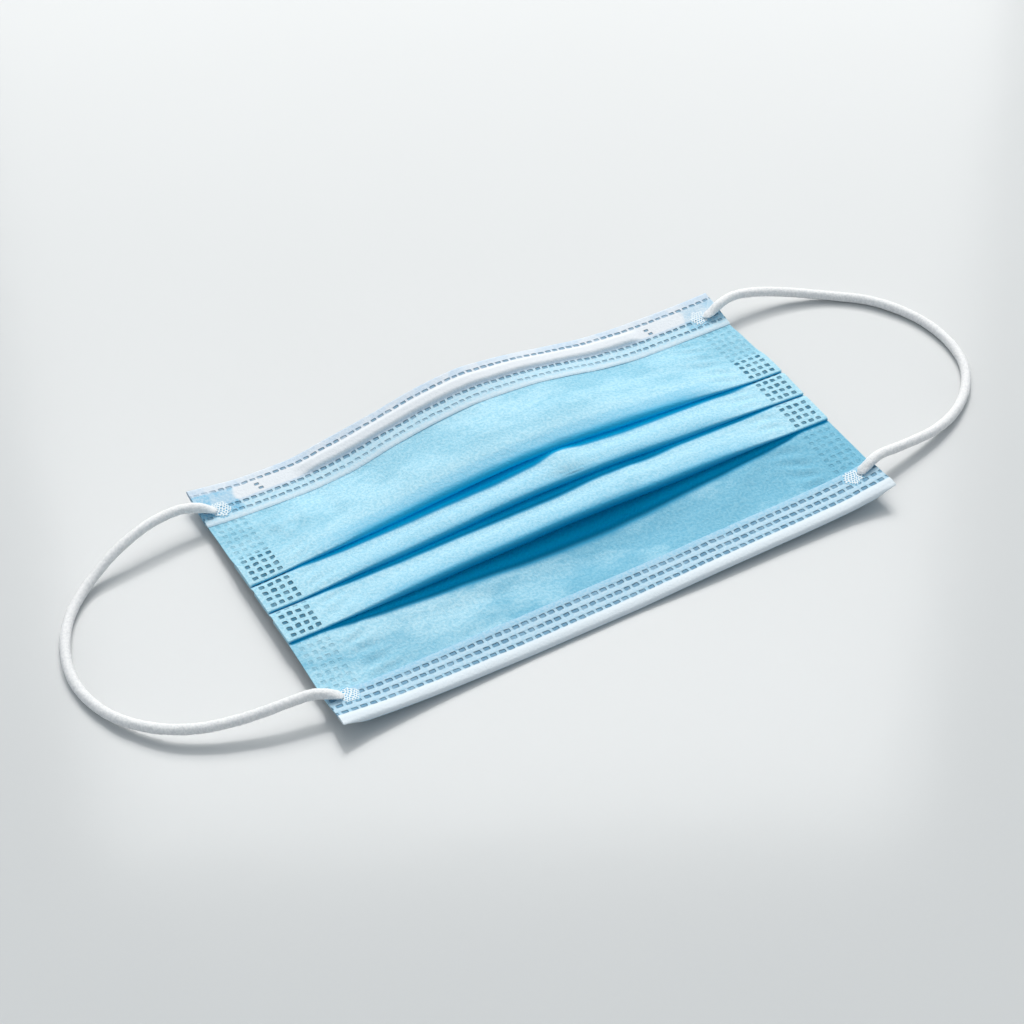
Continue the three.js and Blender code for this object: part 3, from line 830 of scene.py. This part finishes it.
def band_material():
    made, tree, shader = material("nose_band_cloth", 0.85, 0.08)
    x, u, _ = attribute(tree, "band_mm")
    dots = band_dots(x, u)
    pits = cloth_bump(tree, shader, dots, grain=0.6, dent_depth=0.6)
    colour = band_colour(x, u)
    colour = mix(ramp(pits, 0.35, 0.65, 0.0, 0.3), colour, FIBRE_WHITE)
    colour = mix(times(dots, DOT_COVER), colour, DASH_COLOUR)
    set_colour(shader, colour)
    return made


def hem_colour(u, w, furrow):
    """White on the roll, blue on the flap, darker in the furrows and at the cut edge, with painted shade on
    the roll's underside.
    """
    colour = mix(ramp(u, 2.8, 3.8), HEM_WHITE, HEM_BLUE)
    colour = mix(times(furrow, 0.6), colour, HEM_EDGE)
    colour = mix(ramp(u, 9.6, 11.2, 0.0, 0.9), colour, HEM_EDGE)
    # painted shade on the roll's underside
    return mix(ramp(w, -1.0, -2.1), colour, HEM_UNDERSIDE_SHADE)


def hem_material():
    made, tree, shader = material("chin_hem_cloth", 0.85, 0.08)
    x, u, w = attribute(tree, "band_mm")
    from_row = minus(u, HEM_ROWS_U)
    dots = dashes(x, from_row, 2.75, HEM_ROW_PITCH, rows=3, size=(1.7, 1.1), stagger=0.4)
    dots = times(worn(dots), ramp(w, -0.9, -0.5))
    furrow = ramp(calc("PINGPONG", from_row, HEM_ROW_PITCH / 2), 1.1, 0.3)
    furrow = times(furrow, ramp(u, 3.2, 3.8))
    pressed = calc("MULTIPLY_ADD", furrow, 0.3, dots)
    pits = cloth_bump(tree, shader, pressed, grain=0.5, dent_depth=0.6)
    colour = hem_colour(u, w, furrow)
    colour = mix(ramp(pits, 0.35, 0.65, 0.0, 0.25), colour, FIBRE_WHITE)
    colour = mix(times(dots, DOT_COVER), colour, HEM_DASH_COLOUR)
    set_colour(shader, colour)
    return made


# The materials of the loops, the weld spots and the wire

ELASTIC_WHITES = [(0.80, 0.81, 0.82, 1), (0.93, 0.93, 0.93, 1)]
PAD_WHITE = (0.84, 0.92, 0.96, 1)
PAD_RIM = (0.30, 0.62, 0.82, 1)
PAD_CELL = (0.16, 0.47, 0.70, 1)
STEEL_GREYS = [(0.50, 0.52, 0.54, 1), (0.62, 0.64, 0.66, 1)]


def loop_material():
    """White knitted elastic. Light spreads a little inside it."""
    made, tree, shader = material("knitted_elastic", 0.9, 0.1)
    fibres = noise(object_place(tree), 1500.0, 2.0, 0.6)
    add_bump(shader, fibres, 0.0003, 0.8)
    shader.inputs["Subsurface Weight"].default_value = 0.8
    shader.inputs["Subsurface Radius"].default_value = (1.0, 1.0, 1.0)
    shader.inputs["Subsurface Scale"].default_value = 0.0012
    set_colour(shader, mix(ramp(fibres, 0.3, 0.7), *ELASTIC_WHITES))
    return made


def pad_material():
    made, tree, shader = material("embossed_weld", 0.8, 0.1)
    cell, rim, _ = attribute(tree, "emboss")
    colour = mix(rim, PAD_WHITE, PAD_RIM)
    colour = mix(cell, colour, PAD_CELL)
    fibres = noise(object_place(tree), 2000.0, 2.0, 0.6)
    add_bump(shader, fibres, 0.0002, 0.4)
    set_colour(shader, colour)
    return made


def wire_material():
    made, tree, shader = material("wire_steel", 0.35)
    shader.inputs["Metallic"].default_value = 1.0
    grain = noise(object_place(tree), 900.0, 3.0, 0.6)
    set_colour(shader, mix(grain, *STEEL_GREYS))
    return made


# Bindings

NOSE_EDGE_RADIUS = 0.7
# The ridge over the wire: middle, half widths towards the edge and the panel, height, and X where it begins,
# is full, fades and ends
RIDGE_U = 6.0
RIDGE_HALF_WIDTHS = (1.85, 2.2)
RIDGE_HEIGHT = 1.1
RIDGE_ENDS = (-57.0, -51.0, 55.0, 61.0)
HEM_FROM = 4.6  # u where the chin binding's flap ends and its rolled hem begins
HEM_ROLL = [
    [4.0, 0.08], [3.4, 0.12], [2.8, 0.2], [2.0, 0.2], [1.2, 0.02], [0.5, -0.3], [0.1, -0.8], [-0.02, -1.25],
    [0.1, -1.7], [0.45, -2.05], [0.9, -2.18], [1.6, -2.2], [2.4, -2.2], [3.1, -2.18], [3.7, -2.05],
    [4.1, -1.85],
]  # (u, w) on its outer face, from the flap round to its end under the panel
HEM_SQUEEZE = (80.5, 87.4)  # X where the roll gets flatter, to 0.4 of its depth
BINDING_SECTIONS = 300
BINDING_OVERHANG = 0.15  # past the panel's ends


def thinning(u, cut):
    """How much thinner a flap gets towards its cut edge."""
    return 0.2 * smoothstep(cut - 0.5, cut, u)


def ridge(x, u):
    begins, full, fades, ends = RIDGE_ENDS
    lift = RIDGE_HEIGHT * smoothstep(begins, full, x) * (1 - smoothstep(fades, ends, x))
    upper = np.exp(-(((u - RIDGE_U) / RIDGE_HALF_WIDTHS[0]) ** 4))
    lower = np.exp(-(((u - RIDGE_U) / RIDGE_HALF_WIDTHS[1]) ** 6))
    return lift * np.where(u < RIDGE_U, upper, lower)


def channel(u):
    """The slight pillow of the wire's channel, also where there is no wire."""
    return 0.18 * np.exp(-(((u - 6.2) / 3.2) ** 6))


def nose_profile(x):
    """The nose band's outer and inner face at x as (u, w), from its cut edge over the nose edge and back."""
    radius = NOSE_EDGE_RADIUS
    top_u = np.linspace(NOSE_BAND, 9, 26), np.linspace(9, 3.5, 36)[1:], np.linspace(3.5, radius, 12)[1:]
    top_u = np.concatenate(top_u)
    thinned = thinning(top_u, NOSE_BAND)
    top = np.stack([top_u, ridge(x, top_u) + channel(top_u) - thinned], -1)
    turn = np.linspace(math.pi / 2, 3 * math.pi / 2, 10)[1:-1]
    cap = np.stack([radius + radius * np.cos(turn), -radius + radius * np.sin(turn)], -1)
    low_u = np.linspace(radius, NOSE_BAND - 1.5, 24)
    low = np.stack([low_u, np.full(24, -2 * radius)], -1)
    outer = np.concatenate([top, cap, low])
    shift = np.concatenate([
        np.stack([0 * top_u, thinned - FLAP], -1),
        np.stack([-FLAP * np.cos(turn), -FLAP * np.sin(turn)], -1),
        np.tile([0, FLAP], (len(low), 1)),
    ])
    return outer, outer + shift


def chin_profile(x):
    """As nose_profile, for the chin binding: its flap, its rolled hem and the hem's end against the panel."""
    flap_u = np.linspace(CHIN_BAND, HEM_FROM, 40)
    thinned = thinning(flap_u, CHIN_BAND)
    flap = np.stack([flap_u, -thinned], -1)
    roll = np.array(HEM_ROLL)
    flatter = 1 - 0.6 * float(smoothstep(*HEM_SQUEEZE, abs(x)))
    roll[:, 1] = np.where(roll[:, 1] < 0, roll[:, 1] * flatter, roll[:, 1])
    outer = np.concatenate([flap, smooth_points(roll, 5)])
    headings = np.gradient(outer, axis=0)
    headings /= np.linalg.norm(headings, axis=1)[:, None]
    inwards = np.stack([-headings[:, 1], headings[:, 0]], -1)
    inwards[: len(flap)] = [0, -1]
    thickness = np.full((len(outer), 1), FLAP)
    thickness[: len(flap), 0] -= thinned
    return outer, outer + thickness * inwards


def make_binding(name, profile, frame_at, look, replaces, sign):
    """A binding along the whole width. sign is 1 for the nose and -1 for the chin."""
    end = WIDTH / 2 + BINDING_OVERHANG
    outer, inner, facts = [], [], []
    for x in np.linspace(-end, end, BINDING_SECTIONS):
        face, under = profile(x)
        u, w = face.T
        wave = 0.05 * soft_noise(x, 40 * sign + u, 9, 11) + 0.03 * soft_noise(x, u, 3.5, 12)
        wave = wave * smoothstep(0, 2, u)
        outer.append(in_frame(frame_at, x, u, w + wave))
        inner.append(in_frame(frame_at, x, under[:, 0], under[:, 1] + wave))
        facts.append(np.stack([np.full(len(face), x), u, w], -1))
    outer, inner, facts = (np.array(rows)[::-1] for rows in (outer, inner, facts))
    points, faces = shell(outer, inner)
    if sign < 0:
        faces = [face[::-1] for face in faces]
    piece = new_object(name, points, faces, [look], replaces)
    add_vectors(piece, "band_mm", np.concatenate([facts, facts[:, ::-1]], axis=1))
    return piece


# Ear loops

LOOP_STEP = 0.25  # from one ring of points to the next
LOOP_SIDES = 32
RIB_PITCH = 0.9
RIBS_ROUND = 12
RIB_HEIGHT = 0.05


def loop_path(points):
    """The loop's middle line in steps of LOOP_STEP, and its length."""
    line = smooth_points(points, 40)
    run = np.concatenate([[0], np.cumsum(np.linalg.norm(np.diff(line, axis=0), axis=1))])
    at = np.arange(0, run[-1], LOOP_STEP)
    return np.stack([np.interp(at, run, line[:, i]) for i in range(3)], -1), run[-1]


def across_line(line):
    """Directions to the side and up at each point of a line."""
    tangent = np.gradient(line, axis=0)
    tangent /= np.linalg.norm(tangent, axis=1)[:, None]
    side = np.cross(tangent, [0, 0, 1.0])
    side /= np.linalg.norm(side, axis=1)[:, None]
    return side, np.cross(side, tangent)


def knitted_radius(run, turns):
    """The loop's radius along it and round it, with its ribs and its uneven knit."""
    run, turns = run[:, None], turns[None, :]
    ribs = np.sin(2 * math.pi * (run / RIB_PITCH + turns)) * np.sin(math.pi * turns)
    radius = LOOP_DIAMETER / 2 + RIB_HEIGHT * ribs + 0.05 * soft_noise(1.5 * run, turns, 1.1, 21)
    return radius + 0.05 * soft_noise(run, 0.4 * turns, 5, 22)


def make_loop(name, points, look, replaces):
    """A loop whose ends are flattened where the weld spots hold them."""
    line, length = loop_path(points)
    side, up = across_line(line)
    angle = np.linspace(0, 2 * math.pi, LOOP_SIDES, endpoint=False)
    run = np.arange(len(line)) * LOOP_STEP
    radius = knitted_radius(run, angle / (2 * math.pi) * RIBS_ROUND)
    ends = np.minimum(run, run[::-1])
    flat = smoothstep(0.5, 6.0, ends)
    tip = smoothstep(-0.6, 1.4, ends)
    wide, high = tip * (1.08 - 0.08 * flat), tip * (0.32 + 0.68 * flat)
    across = (wide[:, None] * np.cos(angle)[None, :])[..., None] * side[:, None]
    upwards = (high[:, None] * np.sin(angle)[None, :])[..., None] * up[:, None]
    ring = line[:, None] + radius[..., None] * (across + upwards)
    faces = grid_faces(len(line), LOOP_SIDES, around=True)
    faces.append(list(range(LOOP_SIDES))[::-1])
    faces.append([(len(line) - 1) * LOOP_SIDES + i for i in range(LOOP_SIDES)])
    piece = new_object(name, ring, faces, [look], replaces)
    return piece


# Welds that hold the loops

PAD_RADIUS = 3.2
PAD_RINGS = 34
PAD_SECTORS = 108
PAD_CELL_SIZE = 0.88
PAD_HEIGHT = 0.26


def honeycomb(u, v, cell):
    """1 inside the cells of a honeycomb and 0 on its walls."""
    best = np.full(np.broadcast(u, v).shape, 9.0)
    rows = cell * math.sqrt(3)
    for shift in (0.0, 0.5):
        cu = (np.round(u / cell - shift) + shift) * cell
        cv = (np.round(v / rows - shift) + shift) * rows
        du, dv = np.abs(u - cu), np.abs(v - cv)
        best = np.minimum(best, np.maximum(du, du / 2 + dv * math.sqrt(3) / 2))
    return 1 - smoothstep(0.20 * cell, 0.34 * cell, best)


def pad_emboss(x):
    """Places (x, u) round the middle of the spot at x, and how strong its cells and its rim are there."""
    a = np.linspace(0, 2 * math.pi, PAD_SECTORS, endpoint=False)[None, :]
    ragged = 1 + 0.07 * np.sin(5 * a + x) + 0.04 * np.sin(11 * a + 2 * x)
    r = np.linspace(0.03, PAD_RADIUS, PAD_RINGS)[:, None] * ragged
    px, pu = r * np.cos(a), r * np.sin(a)
    bend = 0.3 * soft_noise(px + x, pu, 1.2, 31), 0.3 * soft_noise(px + x, pu, 1.2, 32)
    cells = honeycomb(px + bend[0], pu + bend[1], PAD_CELL_SIZE)
    rim = smoothstep(0.80, 0.96, r / PAD_RADIUS / ragged + 0.06 * soft_noise(px, pu, 0.9, 33))
    return px, pu, cells, rim


def make_pad(name, frame_at, x, u, look, replaces):
    """An embossed spot on a binding's face: a net of uneven cells in the middle and a ragged rim."""
    px, pu, cells, rim = pad_emboss(x)
    rise = PAD_HEIGHT - 0.16 * cells - 0.22 * rim
    rings = [(px[i], pu[i], rise[i]) for i in range(PAD_RINGS)]
    rings.append((px[-1], pu[-1], np.full(PAD_SECTORS, -0.12)))
    points = [[in_frame(frame_at, x + dx, u + du, w) for dx, du, w in zip(*ring)] for ring in rings]
    faces = grid_faces(PAD_RINGS + 1, PAD_SECTORS, around=True)
    faces.append(list(range(PAD_SECTORS)))
    faces.append([PAD_RINGS * PAD_SECTORS + j for j in range(PAD_SECTORS)][::-1])
    if frame_at is nose_frame:
        faces = [face[::-1] for face in faces]
    piece = new_object(name, points, faces, [look], replaces)
    facts = np.stack([cells, rim, rim], -1)
    add_vectors(piece, "emboss", np.concatenate([facts, facts[-1:]]))
    return piece


# Camera, floor and lights

CAMERA = {"at": (-235.0, -392.3, 460.6), "target": (-11.6, -3.5, 5.0), "lens": 80.06}
TABLE_HALF = 4.0  # in metres
TABLE_GREYS = [(0.635, 0.65, 0.655, 1), (0.65, 0.665, 0.67, 1)]
# Lamps: azimuth and elevation seen from the mask in degrees, sides in millimetres, power in watts
LAMP_DISTANCE = 2000.0
LAMPS = [
    {"name": "lamp", "azimuth": 60.0, "elevation": 47.0, "sides": (440.0, 620.0), "power": 16.0},
    {"name": "softbox", "azimuth": 64.0, "elevation": 55.0, "sides": (1900.0, 1500.0), "power": 21.0},
]
KEY_COLOUR = (1.0, 0.965, 0.925)
ROOM_COLOUR = (0.88, 0.965, 1.03, 1)
ROOM_STRENGTH = 0.46
# The bright panel that the table mirrors, in the lamp's plane: corners (right, up) from its middle
MIRRORED = [(477.0, 353.0), (-451.0, 317.0), (-676.0, -1500.0), (846.0, -1500.0)]
MIRRORED_STRENGTH = [(1.2, 4.0), (1.68, 10.0)]  # (height in metres, strength)


def make_camera():
    data = bpy.data.cameras.new("camera")
    data.lens = CAMERA["lens"]
    data.sensor_width = 36.0
    data.clip_start = 0.01
    camera = bpy.data.objects.new("camera", data)
    camera.location = Vector(CAMERA["at"]) * MM
    look = Vector(CAMERA["target"]) - Vector(CAMERA["at"])
    camera.rotation_euler = look.to_track_quat("-Z", "Y").to_euler()
    bpy.context.scene.collection.objects.link(camera)
    bpy.context.scene.camera = camera


def stage_quad(name, corners, look):
    """A rectangle round the mask that is not part of it. Its corners are in metres."""
    mesh = bpy.data.meshes.new(name)
    mesh.from_pydata(corners, [], [(0, 1, 2, 3)])
    mesh.materials.append(look)
    quad = bpy.data.objects.new(name, mesh)
    bpy.context.scene.collection.objects.link(quad)
    return quad


def table_material():
    made, tree, shader = material("pale_table", 0.13, 0.2)
    place = object_place(tree)
    blotches = noise(place, 9.0, 2.0)
    ripple = noise(place, 70.0, 1.0)
    add_bump(shader, ripple, 0.00003, 1.0)
    set_colour(shader, mix(blotches, *TABLE_GREYS))
    return made


def make_floor():
    half = TABLE_HALF
    corners = [(-half, -half, 0), (half, -half, 0), (half, half, 0), (-half, half, 0)]
    stage_quad("floor", corners, table_material())


def towards(azimuth, elevation):
    azimuth, elevation = math.radians(azimuth), math.radians(elevation)
    flat = math.cos(elevation)
    return Vector((flat * math.cos(azimuth), flat * math.sin(azimuth), math.sin(elevation)))


def glow_material():
    """Light that grows with the height above the table."""
    made = bpy.data.materials.new("bright_panel")
    made.use_nodes = True
    tree = made.node_tree
    tree.nodes.clear()
    height_here = node(tree, "ShaderNodeSeparateXYZ", {0: object_place(tree)}).outputs[2]
    low, high = MIRRORED_STRENGTH
    strength = ramp(height_here, low[0], high[0], low[1], high[1])
    glow = node(tree, "ShaderNodeEmission", {"Color": (1, 1, 1, 1), "Strength": strength})
    output = node(tree, "ShaderNodeOutputMaterial")
    tree.links.new(glow.outputs[0], output.inputs["Surface"])
    return made


def make_mirrored_panel(lamp):
    """The bright panel that shows in the table's gloss. It lights nothing else."""
    away = towards(lamp["azimuth"], lamp["elevation"])
    right = Vector((0, 0, 1)).cross(away).normalized()
    up = away.cross(right)
    corners = [(away * LAMP_DISTANCE + right * u + up * v) * MM for u, v in MIRRORED]
    panel = stage_quad("bright_panel", corners, glow_material())
    for kind in ("camera", "diffuse", "transmission", "volume_scatter", "shadow"):
        setattr(panel, "visible_" + kind, False)


def make_lamp(lamp):
    data = bpy.data.lights.new(lamp["name"], "AREA")
    data.shape = "RECTANGLE"
    data.size, data.size_y = (side * MM for side in lamp["sides"])
    data.energy = lamp["power"]
    data.color = KEY_COLOUR
    light = bpy.data.objects.new(lamp["name"], data)
    away = towards(lamp["azimuth"], lamp["elevation"])
    light.location = away * LAMP_DISTANCE * MM
    light.rotation_euler = (-away).to_track_quat("-Z", "Y").to_euler()
    light.visible_glossy = False
    bpy.context.scene.collection.objects.link(light)


def make_lights():
    for lamp in LAMPS:
        make_lamp(lamp)
    make_mirrored_panel(LAMPS[0])
    world = bpy.data.worlds.new("room")
    world.use_nodes = True
    background = world.node_tree.nodes["Background"]
    background.inputs["Color"].default_value = ROOM_COLOUR
    background.inputs["Strength"].default_value = ROOM_STRENGTH
    bpy.context.scene.world = world


make_camera()
elastic = loop_material()
make_loop("loop_left", LEFT_LOOP, elastic, ["ear_loop_left"])
make_loop("loop_right", RIGHT_LOOP, elastic, ["ear_loop_right"])
make_floor()
make_lights()
bpy.context.scene.view_settings.view_transform = "Standard"

panel = make_panel([cloth_outer(), cloth_inner()])
band = make_binding("nose_band", nose_profile, nose_frame, band_material(), ["nose_binding"], 1)
hem = make_binding("chin_hem", chin_profile, chin_frame, hem_material(), ["chin_binding"], -1)
welds = pad_material()
pads = [
    make_pad("weld_nose_left", nose_frame, -81.6, 9.8, welds, ["loop_weld_nose_left"]),
    make_pad("weld_nose_right", nose_frame, 79.9, 8.2, welds, ["loop_weld_nose_right"]),
    make_pad("weld_chin_left", chin_frame, -81.3, 9.8, welds, ["loop_weld_chin_left"]),
    make_pad("weld_chin_right", chin_frame, 79.6, 9.6, welds, ["loop_weld_chin_right"]),
]
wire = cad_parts["nose_wire"]
wire.data.materials.clear()
wire.data.materials.append(wire_material())
